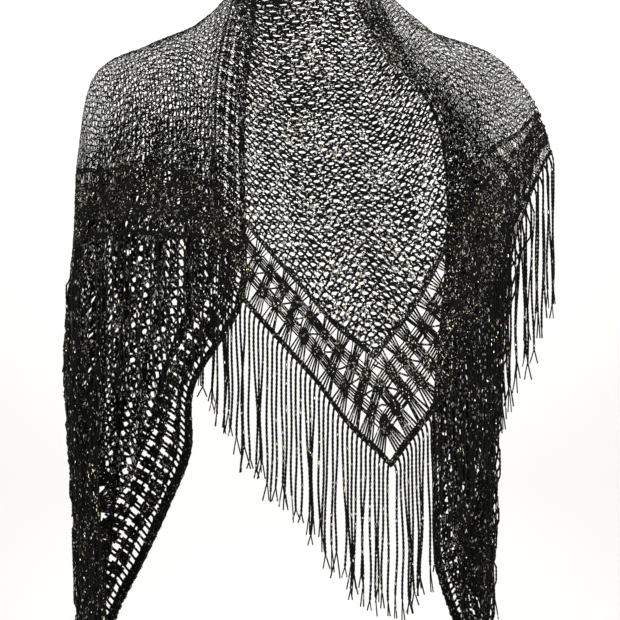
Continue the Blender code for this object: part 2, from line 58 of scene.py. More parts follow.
# One row for each rib, from the left tail's tip to the right tail's tip.
# Columns: name, plain edge, upper support, middle, lower support, fringed edge, each (x, y, z).
RIBS = (
    ("left tip", (-200, 82, -600), (-202, 81, -607), (-204, 80, -616), (-206, 79, -627), (-207, 78, -642)),
    ("left tail 8", (-184, 84, -548), (-193, 86, -553), (-202, 85, -561), (-209, 80, -575), (-212, 70, -618)),
    ("left tail 7", (-158, 86, -495), (-176, 90, -500), (-196, 90, -508), (-211, 82, -524), (-215, 60, -588)),
    ("left tail 6", (-133, 88, -440), (-160, 92, -442), (-190, 92, -448), (-212, 82, -468), (-217, 46, -550)),
    ("left tail 5", (-112, 90, -385), (-145, 94, -382), (-184, 93, -385), (-214, 78, -410), (-218, 30, -503)),
    ("left tail 4", (-108, 90, -318), (-140, 94, -312), (-182, 92, -318), (-215, 72, -350), (-218, 12, -448)),
    ("left tail 3", (-60, 86, -235), (-112, 94, -225), (-172, 90, -232), (-215, 62, -275), (-218, -8, -388)),
    ("left tail 2", (-57, 86, -155), (-116, 94, -140), (-180, 88, -150), (-215, 48, -205), (-218, -26, -325)),
    ("left tail 1", (-57, 86, -80), (-124, 92, -60), (-188, 78, -70), (-214, 28, -140), (-217, -42, -262)),
    ("left arm", (-54, 80, -18), (-132, 70, -4), (-196, 36, -16), (-212, -14, -96), (-215, -56, -200)),
    ("left arm front", (-48, 70, 30), (-130, 45, 14), (-193, -2, -6), (-207, -52, -84), (-205, -80, -176)),
    ("left shoulder", (-44, 56, 68), (-120, 22, 26), (-166, -32, -2), (-172, -78, -82), (-170, -94, -171)),
    ("left collarbone", (-50, 42, 86), (-95, 2, 40), (-120, -50, 8), (-128, -92, -75), (-128, -106, -172)),
    ("left neck side", (-58, 22, 92), (-80, -18, 42), (-84, -78, -15), (-84, -108, -100), (-81, -118, -179)),
    ("left crease", (-60, -8, 96), (-62, -64, 30), (-60, -108, -58), (-57, -124, -142), (-57, -124, -225)),
    ("left breast", (-40, -46, 95), (-28, -84, -2), (-14, -112, -105), (0, -122, -205), (12, -120, -303)),
    ("point", (5, -62, 95), (25, -86, -15), (45, -112, -140), (65, -120, -262), (84, -114, -385)),
    ("right breast", (45, -42, 95), (62, -80, 5), (92, -108, -88), (122, -118, -184), (152, -112, -280)),
    ("right crease", (60, -6, 95), (92, -42, 42), (124, -86, -24), (158, -104, -104), (190, -98, -180)),
    ("right collarbone", (56, 26, 88), (106, -10, 38), (152, -52, 4), (190, -78, -60), (214, -80, -134)),
    ("right shoulder", (54, 48, 74), (116, 18, 32), (176, -20, 8), (212, -46, -40), (235, -60, -95)),
    ("right arm", (66, 63, 44), (126, 43, 22), (186, 10, 4), (219, -14, -44), (234, -34, -100)),
    ("right arm back", (94, 74, 8), (140, 64, 4), (184, 42, -14), (211, 14, -74), (220, -16, -138)),
    ("right tail 1", (134, 84, -42), (154, 84, -42), (178, 72, -60), (197, 42, -118), (205, -6, -190)),
    ("right tail 2", (148, 88, -114), (160, 93, -112), (176, 86, -132), (190, 62, -185), (197, 4, -255)),
    ("right tail 3", (147, 90, -198), (158, 95, -196), (172, 92, -210), (187, 72, -255), (193, 14, -322)),
    ("right tail 4", (140, 90, -282), (152, 95, -280), (167, 94, -290), (185, 78, -325), (191, 24, -388)),
    ("right tail 5", (134, 90, -362), (148, 94, -362), (164, 94, -368), (183, 82, -395), (190, 36, -450)),
    ("right tail 6", (136, 88, -430), (149, 92, -432), (165, 92, -438), (181, 83, -460), (189, 48, -508)),
    ("right tail 7", (137, 86, -498), (150, 90, -500), (164, 90, -506), (178, 84, -520), (187, 60, -558)),
    ("right tail 8", (152, 84, -550), (160, 86, -554), (168, 86, -560), (177, 82, -572), (184, 72, -598)),
    ("right tip", (168, 82, -595), (171, 81, -601), (174, 80, -608), (177, 79, -617), (180, 78, -628)),
)

# Folds of the front and the shoulders, each along a rib.
# Columns: name, rib it lies on, half width in ribs, start and end along the rib, height outwards.
FOLDS = (
    ("left roll", 13.55, 0.75, 0.05, 1.25, 13.0),
    ("left crease", 14.45, 0.45, 0.10, 1.20, -6.0),
    ("centre wrinkle", 16.35, 0.22, 0.35, 1.00, 4.0),
    ("left breast fold", 15.2, 0.35, 0.15, 0.75, -3.0),
    ("right roll", 18.35, 0.60, 0.05, 1.10, 9.0),
    ("right crease", 17.75, 0.40, 0.10, 0.95, -5.0),
    ("left arm fold", 11.45, 0.45, 0.40, 1.25, 7.0),
    ("left arm fold behind", 10.55, 0.40, 0.45, 1.20, -6.0),
    ("left collar fold", 12.5, 0.40, 0.25, 1.00, 5.0),
    ("right arm fold", 19.5, 0.40, 0.35, 1.10, -6.0),
    ("right arm roll", 20.5, 0.40, 0.40, 1.20, 5.0),
)

# Pleats of the tails, each running down the tail.
# Columns: side, place along the rib, half width along the rib, height outwards.
PLEATS = (
    ("left", 0.12, 0.085, 13.0),
    ("left", 0.30, 0.075, 16.0),
    ("left", 0.47, 0.080, 14.0),
    ("left", 0.66, 0.085, 11.0),
    ("left", 0.85, 0.080, 12.0),
    ("right", 0.13, 0.085, 11.0),
    ("right", 0.32, 0.080, 14.0),
    ("right", 0.50, 0.075, 12.0),
    ("right", 0.68, 0.085, 9.0),
    ("right", 0.87, 0.080, 10.0),
)
PLEAT_SHRINK = 2.2  # how fast the pleats flatten as the tail narrows
PLEATS_FROM = {"left": 9.0, "right": 22.0}  # the rib where a tail's pleats begin to open
PLEATS_FULL = {"left": 6.5, "right": 24.5}  # the rib where they have their whole height
PLEAT_TAIL_WIDTH = 300.0  # a rib this long has the heights of the table; shorter ones have less

HEM_OPENS = 0.68  # how much wider than the net the border lies in front, where the point pulls it
FRONT_FROM = (12.6, 14.2)  # ribs from which the border opens on the left of the point,
FRONT_TO = (18.0, 19.6)  # and on its right
HEM_CLOSES = 0.62  # how much narrower it lies on the bunched tails
BEHIND_LEFT = (6.4, 8.6)  # ribs between which it narrows on the left,
BEHIND_RIGHT = (22.6, 24.6)  # and on the right
POINT_REACH = 1.0  # ribs beside the point where the edges run straight to it

STEP_RIB = 0.02  # steps that the cloth's slope is measured over
STEP_SHARE = 0.01
SEARCH_STEPS = 36  # halvings that find the rib of a chart point
MIDDLE = 16  # the row of the point
PLACES = np.array([row[1:] for row in RIBS], dtype=float)


def padded(rows):
    """The rows with one more at each end, carried straight on."""
    first = 2 * rows[:1] - rows[1:2]
    last = 2 * rows[-1:] - rows[-2:-1]
    return np.concatenate([first, rows, last])


def spline_weights(share):
    """Weights of the four rows around a place on a Catmull-Rom spline."""
    return np.stack(
        [
            -0.5 * share + share**2 - 0.5 * share**3,
            1 - 2.5 * share**2 + 1.5 * share**3,
            0.5 * share + 2 * share**2 - 1.5 * share**3,
            -0.5 * share**2 + 0.5 * share**3,
        ],
        axis=1,
    )


def through(rows, where):
    """A smooth line through evenly counted rows, read at the places where (0 is the first row)."""
    start = np.clip(np.floor(where).astype(int), 0, len(rows) - 2)
    weights = spline_weights(where - start)
    around = padded(rows)[start[:, None] + np.arange(4)]
    return np.einsum("nk,nk...->n...", weights, around)


def straight(rows, where):
    """Straight lines between evenly counted rows."""
    start = np.clip(np.floor(where).astype(int), 0, len(rows) - 2)
    share = (where - start)[:, None, None]
    return rows[start] * (1 - share) + rows[start + 1] * share


def along(points):
    """Length from the point's row to each row, negative on the left."""
    steps = np.linalg.norm(np.diff(points, axis=0), axis=1)
    length = np.concatenate([[0.0], np.cumsum(steps)])
    return length - length[MIDDLE]


LEG_AT = along(PLACES[:, -1])
EDGE_AT = along(PLACES[:, 0])
LEG = {"left": -LEG_AT[0], "right": LEG_AT[-1]}
NECK = np.array([DEPTH, DEPTH]) / math.sqrt(2)


def chart_leg(leg):
    """Chart place on the fringed edges: the left one is the first axis, the right one the second."""
    return np.stack([np.maximum(-leg, 0), np.maximum(leg, 0)], axis=1)


def chart_edge(edge):
    """Chart place on the plain edge, which runs straight from the neckline to each tip."""
    share_left = LAST_RIB * np.clip(edge / EDGE_AT[0], 0, 1)[:, None]
    share_right = LAST_RIB * np.clip(edge / EDGE_AT[-1], 0, 1)[:, None]
    tip_left = np.array([LEG["left"], 0.0])
    tip_right = np.array([0.0, LEG["right"]])
    return NECK + share_left * (tip_left - NECK) + share_right * (tip_right - NECK)


def rib_ends(rib):
    """Chart ends of the ribs: on the plain edge and on the fringed edge."""
    edge = through(EDGE_AT[:, None], rib)[:, 0]
    leg = through(LEG_AT[:, None], rib)[:, 0]
    return chart_edge(edge), chart_leg(leg)


def find_rib(chart):
    """The rib that each chart point lies on, and how far along it the point is."""
    low = np.zeros(len(chart))
    high = np.full(len(chart), len(RIBS) - 1.0)
    for _ in range(SEARCH_STEPS):
        middle = (low + high) / 2
        edge, leg = rib_ends(middle)
        down = leg - edge
        off = chart - edge
        beyond = down[:, 0] * off[:, 1] - down[:, 1] * off[:, 0] < 0
        low = np.where(beyond, middle, low)
        high = np.where(beyond, high, middle)
    rib = (low + high) / 2
    edge, leg = rib_ends(rib)
    down = leg - edge
    share = np.sum((chart - edge) * down, axis=1) / np.sum(down * down, axis=1)
    return rib, share


def hump(distance, half_width):
    """A soft ridge: 1 in the middle, 0 from the half width on."""
    near = np.clip(np.abs(distance) / half_width, 0, 1)
    return 0.5 + 0.5 * np.cos(math.pi * near)


def fade(value, start, end):
    """0 before start, 1 after end, smooth between them."""
    share = np.clip((value - start) / (end - start), 0, 1)
    return share * share * (3 - 2 * share)


def smooth_surface(rib, share):
    """The cloth without its folds: across the ribs, then along them."""
    in_front = fade(rib, *FRONT_FROM) * (1 - fade(rib, *FRONT_TO))
    behind = 1 - fade(rib, *BEHIND_LEFT) + fade(rib, *BEHIND_RIGHT)
    share = share - (HEM_OPENS * in_front - HEM_CLOSES * behind) * share**2 * (1 - share)
    rows = through(PLACES, rib)
    corner = hump(rib - MIDDLE, POINT_REACH)[:, None, None]
    rows = rows + corner * (straight(PLACES, rib) - rows)
    count = rows.shape[1]
    first = 2 * rows[:, :1] - rows[:, 1:2]
    last = 2 * rows[:, -1:] - rows[:, -2:-1]
    rows = np.concatenate([first, rows, last], axis=1)
    where = share * (count - 1)
    start = np.clip(np.floor(where).astype(int), 0, count - 2)
    weights = spline_weights(where - start)
    picked = np.take_along_axis(rows, (start[:, None] + np.arange(4))[:, :, None], axis=1)
    return np.einsum("nk,nkc->nc", weights, picked)


def raised(rib, share):
    """Height of the folds and pleats, outwards."""
    height = np.zeros(len(rib))
    for _, on_rib, half_ribs, start, end, tall in FOLDS:
        length = (end - start) / 2
        height += tall * hump(rib - on_rib, half_ribs) * hump(share - start - length, length)
    rows = through(PLACES, rib)
    width = np.linalg.norm(np.diff(rows, axis=1), axis=2).sum(axis=1)
    narrow = np.clip(width / PLEAT_TAIL_WIDTH, 0, 1) ** PLEAT_SHRINK
    for side, place, half, tall in PLEATS:
        opened = fade(rib, PLEATS_FROM[side], PLEATS_FULL[side])
        height += tall * opened * narrow * hump(share - place, half)
    return height


def outwards(surface, rib, share):
    """Unit normal of a surface, on the shawl's outer side."""
    across = surface(rib + STEP_RIB, share) - surface(rib - STEP_RIB, share)
    down = surface(rib, share + STEP_SHARE) - surface(rib, share - STEP_SHARE)
    out = np.cross(down, across)
    return out / np.linalg.norm(out, axis=1)[:, None]


def folded_surface(rib, share):
    """The cloth with its folds and pleats."""
    out = outwards(smooth_surface, rib, share)
    return smooth_surface(rib, share) + out * raised(rib, share)[:, None]


def drape(chart, lift):
    """Places in space of chart points, each lifted outwards from the middle of the cloth."""
    rib, share = find_rib(chart)
    share = gather(rib, share)
    return folded_surface(rib, share) + outwards(folded_surface, rib, share) * lift[:, None]


def fresh_wire():
    """An empty wire, whose points each have their own yarn radius."""
    wire = bmesh.new()
    wire.verts.layers.float.new("yarn radius")
    wire.verts.layers.float_vector.new("cloth normal")
    return wire


def node(tree, kind, settings=None, inputs=None):
    """A new node in a tree, with its settings, and a value or a link for each of its inputs."""
    made = tree.nodes.new(kind)
    for name, value in (settings or {}).items():
        setattr(made, name, value)
    for name, value in (inputs or {}).items():
        if isinstance(value, bpy.types.NodeSocket):
            tree.links.new(value, made.inputs[name])
        else:
            made.inputs[name].default_value = value
    return made


YARN_SIDES = 4


def yarn_tool(flat):
    """Geometry nodes that turn a wire into yarn with the radius of its points.

    Flat yarn lies in the cloth, this share as thick as it is wide; round yarn has a share of 1.
    """
    name = f"yarn {flat:.2f}"
    if name in bpy.data.node_groups:
        return bpy.data.node_groups[name]
    tree = bpy.data.node_groups.new(name, "GeometryNodeTree")
    tree.interface.new_socket("Wire", in_out="INPUT", socket_type="NodeSocketGeometry")
    tree.interface.new_socket("Yarn", in_out="OUTPUT", socket_type="NodeSocketGeometry")
    wire = node(tree, "NodeGroupInput").outputs["Wire"]
    path = node(tree, "GeometryNodeMeshToCurve", inputs={"Mesh": wire}).outputs["Curve"]
    if flat < 1:
        kind = "GeometryNodeInputNamedAttribute"
        across = node(tree, kind, {"data_type": "FLOAT_VECTOR"}, {"Name": "cloth normal"})
        sockets = {"Curve": path, "Normal": across.outputs["Attribute"]}
        laid = node(tree, "GeometryNodeSetCurveNormal", {"mode": "FREE"}, sockets)
        path = laid.outputs["Curve"]
    sockets = {"Resolution": YARN_SIDES, "Radius": 1.0}
    ring = node(tree, "GeometryNodeCurvePrimitiveCircle", inputs=sockets)
    sockets = {"Geometry": ring.outputs["Curve"], "Scale": (flat, 1.0, 1.0)}
    pressed = node(tree, "GeometryNodeTransform", inputs=sockets)
    kind = "GeometryNodeInputNamedAttribute"
    thickness = node(tree, kind, {"data_type": "FLOAT"}, {"Name": "yarn radius"})
    sockets = {
        "Curve": path,
        "Profile Curve": pressed.outputs["Geometry"],
        "Scale": thickness.outputs["Attribute"],
        "Fill Caps": True,
    }
    tube = node(tree, "GeometryNodeCurveToMesh", inputs=sockets)
    smooth = node(tree, "GeometryNodeSetShadeSmooth", inputs={"Geometry": tube.outputs["Mesh"]})
    node(tree, "NodeGroupOutput", inputs={"Yarn": smooth.outputs["Geometry"]})
    return tree


def yarn_piece(name, wire, flat, material):
    """Make the finished piece from a wire that is already in its place in space."""
    mesh = bpy.data.meshes.new(name)
    wire.to_mesh(mesh)
    wire.free()
    piece = bpy.data.objects.new(name, mesh)
    bpy.context.scene.collection.objects.link(piece)
    shaping = piece.modifiers.new("yarn", "NODES")
    shaping.node_group = yarn_tool(flat)
    graph = bpy.context.evaluated_depsgraph_get()
    finished = bpy.data.meshes.new_from_object(piece.evaluated_get(graph))
    piece.modifiers.clear()
    piece.data = finished
    bpy.data.meshes.remove(mesh)
    finished.name = name
    finished.materials.clear()
    finished.materials.append(material)
    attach(piece, "root")
    return piece


GATHERS = {"left": 9, "right": 6}  # streaks of gathered cloth across each tail
GATHERED = 0.62  # how much narrower than flat the cloth is in the middle of a streak
# Ribs where a tail's bunching begins and where it is whole.
TAILS_FROM = {"left": (8.6, 6.8), "right": (22.4, 24.2)}
SCALE_STEP = 2.0  # length on the chart that the drape's scale is measured over
SCALE_LEAST = 0.55
SCALE_MOST = 1.3


def on_tail(rib, side):
    """0 on the shoulders and in front, 1 on that side's tail, soft between them."""
    start, end = TAILS_FROM[side]
    return fade(rib, start, end)


def gather(rib, share):
    """Draw the cloth of the tails together in streaks that run down the tail."""
    for side, streaks in GATHERS.items():
        turns = 2 * math.pi * streaks
        share = share - on_tail(rib, side) * GATHERED * np.sin(turns * share) / turns
    return share


def local_scale(rib, share, chart):
    """Length in space of a short length on the chart, as the mean of both directions."""
    sides = []
    for shift in ((SCALE_STEP, 0.0), (0.0, SCALE_STEP)):
        near_rib, near_share = find_rib(chart + shift)
        moved = folded_surface(near_rib, near_share) - folded_surface(rib, share)
        sides.append(moved / SCALE_STEP)
    area = np.linalg.norm(np.cross(sides[0], sides[1]), axis=1)
    return np.sqrt(area)


def draped_piece(name, wire, flat, material, on_tails):
    """Make a piece from a wire on the chart, whose height is its lift from the cloth.

    On the tails, where the cloth is bunched, the yarn is this much thicker.
    """
    radius = wire.verts.layers.float["yarn radius"]
    normal = wire.verts.layers.float_vector["cloth normal"]
    spots = np.array([vertex.co for vertex in wire.verts], dtype=float)
    rib, share = find_rib(spots[:, :2])
    size = np.clip(local_scale(rib, share, spots[:, :2]), SCALE_LEAST, SCALE_MOST)
    for side in ("left", "right"):
        size = size * (1 + (on_tails - 1) * on_tail(rib, side))
    share = gather(rib, share)
    out = outwards(folded_surface, rib, share)
    places = folded_surface(rib, share) + out * spots[:, 2:]
    for vertex, place, direction, scale in zip(wire.verts, places, out, size):
        vertex.co = Vector(place) * MM
        vertex[radius] *= MM * scale
        vertex[normal] = Vector(direction)
    return yarn_piece(name, wire, flat, material)


REPEAT = 9.3  # from one eyelet to the next in the finished cloth, across and up
ROW_LEANS = 0.2  # each row of eyelets starts this share of a repeat to the left of the one below
# The repeat on the chart, across and up, for the drape pulls it in some places and eases it in others.
CHART_REPEAT = {"front": (10.7, 8.9), "left": (8.4, 8.4), "right": (9.4, 9.4)}
# Where each panel lies on the chart: from and to, to the right of the point and above it.
NET_REACH = {
    "front": ((-150.0, 150.0), (60.0, 570.0)),
    "left": ((-570.0, -50.0), (190.0, 650.0)),
    "right": ((50.0, 570.0), (190.0, 650.0)),
}
BUNCHED = 0.62  # width of the bunched tails' cloth as a share of its flat width
BUNCH_FROM = (450.0, 620.0)  # along the fringed edges, where the bunching starts and where it is whole
YARN_WAVERS = 0.030  # how far the yarn strays, as a share of a repeat
YARN_VARIES = 0.16  # how much its thickness varies
WANDER = 1.3  # how far the rows stray from straight lines
# Waves that the rows stray by: size, and the lengths across and up that turn each by a radian.
UP_WAVES = ((1.0, 37.0, 61.0), (0.6, -90.0, 23.0))
ASIDE_WAVES = ((1.0, 150.0, 41.0), (0.5, 29.0, math.inf))
SAME_CROSSING = 0.05  # crossings nearer than this are one

# Crossings of the yarn in one repeat: place across and up in repeats, half the yarn's width.
CROSSINGS = {
    "knot": (0.00, 0.69, 1.45),
    "upper left": (0.30, 0.97, 1.15),
    "upper right": (0.70, 0.97, 1.15),
    "lower right": (0.70, 0.40, 1.15),
    "lower left": (0.30, 0.40, 1.15),
    "mesh left": (0.25, 0.19, 0.80),
    "mesh right": (0.75, 0.19, 0.80),
}
# The yarns of one repeat: lift, then crossings with how many repeats across and up they lie.
YARNS = (
    (0.30, (("knot", 0, 0), ("upper left", 0, 0), ("upper right", 0, 0), ("knot", 1, 0))),
    (-0.30, (("knot", 0, 0), ("lower left", 0, 0), ("lower right", 0, 0), ("knot", 1, 0))),
    (0.10, (("mesh left", 0, 0), ("mesh right", 0, 0), ("mesh left", 1, 0))),
    (-0.12, (("lower left", 0, 0), ("mesh left", 0, 0), ("upper left", 0, -1))),
    (-0.05, (("lower right", 0, 0), ("mesh right", 0, 0), ("upper right", 0, -1))),
)


def net_wire(panel):
    """The net of one panel on the chart, before it is cut to the panel's edges."""
    wire = fresh_wire()
    radius = wire.verts.layers.float["yarn radius"]
    wide, tall = CHART_REPEAT[panel]
    (first, last), (low, high) = NET_REACH[panel]
    rows = int((high - low) / tall)
    leaning = rows * ROW_LEANS * wide

    def crossing(name, across, up, lift):
        """A new point of the wire, in the repeat that lies this many across and up."""
        x, y, thick = CROSSINGS[name]
        x += across - up * ROW_LEANS
        vertex = wire.verts.new((first + x * wide, low + (y + up) * tall, lift))
        vertex[radius] = thick
        return vertex

    for lift, crossings in YARNS:
        yarn = [crossing(*place, lift) for place in crossings]
        for pair in zip(yarn, yarn[1:]):
            wire.edges.new(pair)
    along_row = int((last - first + leaning) / wide)
    steps = ((along_row, (wide, 0, 0)), (rows, (-ROW_LEANS * wide, tall, 0)))
    for count, step in steps:
        bmesh.ops.spin(
            wire,
            geom=wire.verts[:] + wire.edges[:],
            cent=(0, 0, 0),
            axis=(0, 0, 1),
            dvec=step,
            angle=0,
            steps=count,
            use_duplicate=True,
        )
        bmesh.ops.remove_doubles(wire, verts=wire.verts, dist=SAME_CROSSING)
    return wire


def cut(wire, place, away):
    """Cut the wire along a straight line, and drop what lies on the side that away points to."""
    bmesh.ops.bisect_plane(
        wire,
        geom=wire.verts[:] + wire.edges[:],
        dist=SAME_CROSSING / 10,
        plane_co=(*place, 0),
        plane_no=(*away, 0),
        clear_outer=True,
    )


def join(wire, other):
    """Add another wire to this one."""
    holder = bpy.data.meshes.new("joined")
    other.to_mesh(holder)
    other.free()
    wire.from_mesh(holder)
    bpy.data.meshes.remove(holder)


def wave(waves, right, up):
    """How far some waves move a place on the chart."""
    return sum(size * math.sin(right / across + up / above) for size, across, above in waves)


def shake(wire, seed):
    """Make hand-made yarn of the drawn one: the rows wander, and thick and thin places differ."""
    radius = wire.verts.layers.float["yarn radius"]
    chance = np.random.RandomState(seed)
    for vertex in wire.verts:
        right, up = vertex.co.x, vertex.co.y
        bend = Vector((wave(ASIDE_WAVES, right, up), wave(UP_WAVES, right, up), 0)) * WANDER
        stray = chance.normal(size=3) * YARN_WAVERS * REPEAT
        vertex.co += bend + Vector(stray)
        vertex[radius] *= 1 + YARN_VARIES * float(np.clip(chance.normal(), -2, 2))


def bunch(wire):
    """Draw the tails' net together across the tail, towards the border, as it hangs."""
    for vertex in wire.verts:
        inward, outward = (1, 0) if vertex.co.x > vertex.co.y else (0, 1)
        drawn = float(fade(vertex.co[outward], *BUNCH_FROM)) * (1 - BUNCHED)
        if vertex.co[inward] > HEM_WIDTH:
            vertex.co[inward] -= (vertex.co[inward] - HEM_WIDTH) * drawn


def to_chart(wire):
    """Turn the wire, drawn to the right and up, to the chart's own axes."""
    for vertex in wire.verts:
        right, up, lift = vertex.co
        vertex.co = ((up - right) / math.sqrt(2), (up + right) / math.sqrt(2), lift)


TIPS = {"left": np.array([LEG["left"], 0.0]), "right": np.array([0.0, LEG["right"]])}


def edge_outwards(side):
    """Direction on the chart square to the plain edge, out of the cloth."""
    run = (TIPS[side] - NECK) / np.linalg.norm(TIPS[side] - NECK)
    square = np.array([run[1], -run[0]])
    return square if square.sum() > 0 else -square


def crease_line(side):
    """The straight line on the chart that a crease lies on: a place and a direction outwards."""
    foot = np.array([CREASE_AT, HEM_WIDTH])
    if side == "right":
        foot = foot[::-1]
    rib, _ = find_rib(foot[None])
    edge, _ = rib_ends(rib)
    run = edge[0] - foot
    square = np.array([run[1], -run[0]]) / np.linalg.norm(run)
    return foot, square if square @ TIPS[side] > square @ foot else -square


def metallic_thread():
    """A shader node group: black yarn with glints where its metallic thread comes to the top."""
    tree = bpy.data.node_groups.new("metallic thread", "ShaderNodeTree")
    for name, kind, value in (
        ("Yarn", "NodeSocketColor", (0.01, 0.01, 0.01, 1)),
        ("Silver", "NodeSocketColor", (0.8, 0.8, 0.8, 1)),
        ("Gold", "NodeSocketColor", (0.8, 0.6, 0.3, 1)),
        ("Glints", "NodeSocketFloat", 0.1),
        ("Glint Scale", "NodeSocketFloat", 1100.0),
        ("Warmth", "NodeSocketFloat", 0.3),
        ("Tilt", "NodeSocketFloat", 1.0),
    ):
        socket = tree.interface.new_socket(name, in_out="INPUT", socket_type=kind)
        socket.default_value = value
    for name, kind in (
        ("Color", "NodeSocketColor"),
        ("Metallic", "NodeSocketFloat"),
        ("Roughness", "NodeSocketFloat"),
        ("Normal", "NodeSocketVector"),
    ):
        tree.interface.new_socket(name, in_out="OUTPUT", socket_type=kind)
    given = node(tree, "NodeGroupInput").outputs
    place = node(tree, "ShaderNodeTexCoord").outputs["Object"]

    # Each cell of the pattern is one short length of thread, twice as tall as it is wide.
    sockets = {0: place, 1: (1.0, 1.0, 0.5)}
    tall = node(tree, "ShaderNodeVectorMath", {"operation": "MULTIPLY"}, sockets)
    sockets = {"Vector": tall.outputs["Vector"], "Scale": given["Glint Scale"]}
    flakes = node(tree, "ShaderNodeTexVoronoi", inputs=sockets).outputs["Color"]
    channels = node(tree, "ShaderNodeSeparateColor", inputs={"Color": flakes})

    # Some patches of the cloth show more of the metal than others.
    patches = node(tree, "ShaderNodeTexNoise", inputs={"Vector": place, "Scale": 45.0})
    sockets = {"Value": patches.outputs["Fac"], "From Min": 0.35, "From Max": 0.65}
    sockets |= {"To Min": 0.45, "To Max": 1.6}
    spread = node(tree, "ShaderNodeMapRange", inputs=sockets)
    sockets = {0: spread.outputs["Result"], 1: given["Glints"]}
    share = node(tree, "ShaderNodeMath", {"operation": "MULTIPLY"}, sockets)
    sockets = {0: channels.outputs["Red"], 1: share.outputs["Value"]}
    glint = node(tree, "ShaderNodeMath", {"operation": "LESS_THAN"}, sockets).outputs["Value"]
    sockets = {0: channels.outputs["Green"], 1: given["Warmth"]}
    warm = node(tree, "ShaderNodeMath", {"operation": "LESS_THAN"}, sockets)
    sockets = {"Factor": warm.outputs["Value"], "A": given["Silver"], "B": given["Gold"]}
    metal = node(tree, "ShaderNodeMix", {"data_type": "RGBA"}, sockets)

    # The yarn's fibres are lighter and darker.
    fibres = node(tree, "ShaderNodeTexNoise", inputs={"Vector": place, "Scale": 2600.0})
    sockets = {"Value": fibres.outputs["Fac"], "To Min": 0.35, "To Max": 1.75}
    uneven = node(tree, "ShaderNodeMapRange", inputs=sockets)
    settings = {"data_type": "RGBA", "blend_type": "MULTIPLY"}
    sockets = {"Factor": 1.0, "A": given["Yarn"], "B": uneven.outputs["Result"]}
    yarn = node(tree, "ShaderNodeMix", settings, sockets)
    sockets = {"Factor": glint, "A": yarn.outputs["Result"], "B": metal.outputs["Result"]}
    colour = node(tree, "ShaderNodeMix", {"data_type": "RGBA"}, sockets)
    roughness = node(tree, "ShaderNodeMapRange", inputs={"Value": glint, "To Min": 0.62, "To Max": 0.3})

    # Each length of thread faces its own way.
    sockets = {0: flakes, 1: (0.5, 0.5, 0.5)}
    turned = node(tree, "ShaderNodeVectorMath", {"operation": "SUBTRACT"}, sockets)
    sockets = {"Vector": turned.outputs["Vector"], "Scale": given["Tilt"]}
    scaled = node(tree, "ShaderNodeVectorMath", {"operation": "SCALE"}, sockets)
    normal = node(tree, "ShaderNodeNewGeometry").outputs["Normal"]
    sockets = {0: normal, 1: scaled.outputs["Vector"]}
    tilted = node(tree, "ShaderNodeVectorMath", {"operation": "ADD"}, sockets)
    sockets = {0: tilted.outputs["Vector"]}
    unit = node(tree, "ShaderNodeVectorMath", {"operation": "NORMALIZE"}, sockets)

    sockets = {
        "Color": colour.outputs["Result"],
        "Metallic": glint,
        "Roughness": roughness.outputs["Result"],
        "Normal": unit.outputs["Vector"],
    }
    node(tree, "NodeGroupOutput", inputs=sockets)
    return tree


METALLIC_THREAD = metallic_thread()
DULL = 0.12  # the black yarn's specular level


def yarn_material(name, values):
    """Black yarn with its own share, size and colours of glints."""
    material = bpy.data.materials.new(name)
    material.use_nodes = True
    tree = material.node_tree
    shader = tree.nodes["Principled BSDF"]
    shader.inputs["Specular IOR Level"].default_value = DULL
    thread = node(tree, "ShaderNodeGroup", {"node_tree": METALLIC_THREAD}, values)
    tree.links.new(thread.outputs["Color"], shader.inputs["Base Color"])
    for socket in ("Metallic", "Roughness", "Normal"):
        tree.links.new(thread.outputs[socket], shader.inputs[socket])
    return material


NET_YARN = yarn_material(
    "net yarn",
    {
        "Yarn": (0.0035, 0.0035, 0.003, 1),
        "Silver": (0.80, 0.80, 0.76, 1),
        "Gold": (0.66, 0.61, 0.46, 1),
        "Glints": 0.15,
        "Glint Scale": 1050.0,
        "Warmth": 0.25,
    },
)
NET_FLAT = 0.3  # the flattened yarn's thickness, as a share of its width


def thicken(wire, share):
    """Make the yarn of a wire thicker or thinner."""
    radius = wire.verts.layers.float["yarn radius"]
    for vertex in wire.verts:
        vertex[radius] *= share


def laid_net(panel, seed):
    """A panel's net on the chart, cut along the border."""
    wire = net_wire(panel)
    shake(wire, seed)
    to_chart(wire)
    bunch(wire)
    cut(wire, (HEM_WIDTH, 0), (-1, 0))
    cut(wire, (0, HEM_WIDTH), (0, -1))
    return wire


NET_THICK = {"front": 1.20, "left": 0.56, "right": 0.60}
NET_ON_TAILS = {"front": 1.0, "left": 2.6, "right": 2.1}

front_wire = fresh_wire()
whole_front = laid_net("front", 11)
for side, over_middle, seed in (("left", (-1, 1), 12), ("right", (1, -1), 13)):
    half = whole_front.copy()
    cut(half, (0, 0), over_middle)
    cut(half, NECK - edge_outwards(side) * EDGE_WIDTH, edge_outwards(side))
    foot, outward = crease_line(side)
    cut(half, foot, outward)
    join(front_wire, half)
    side_wire = laid_net(side, seed)
    cut(side_wire, NECK - edge_outwards(side) * EDGE_WIDTH, edge_outwards(side))
    cut(side_wire, foot, -outward)
    thicken(side_wire, NET_THICK[side])
    draped_piece(f"{side}_net", side_wire, NET_FLAT, NET_YARN, NET_ON_TAILS[side])
    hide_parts(f"{side}_shoulder_net", f"{side}_tail_net")
bmesh.ops.remove_doubles(front_wire, verts=front_wire.verts, dist=SAME_CROSSING)
thicken(front_wire, NET_THICK["front"])
front_net = draped_piece("front_net_lace", front_wire, NET_FLAT, NET_YARN, NET_ON_TAILS["front"])
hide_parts("front_net")
whole_front.free()


# The wide border along the fringed edges
# Spider lace in the same yarn: two rows of spiders, each a knot that yarn is wound round, with
# bundles of straight yarn from spider to spider, worked in one with the net.

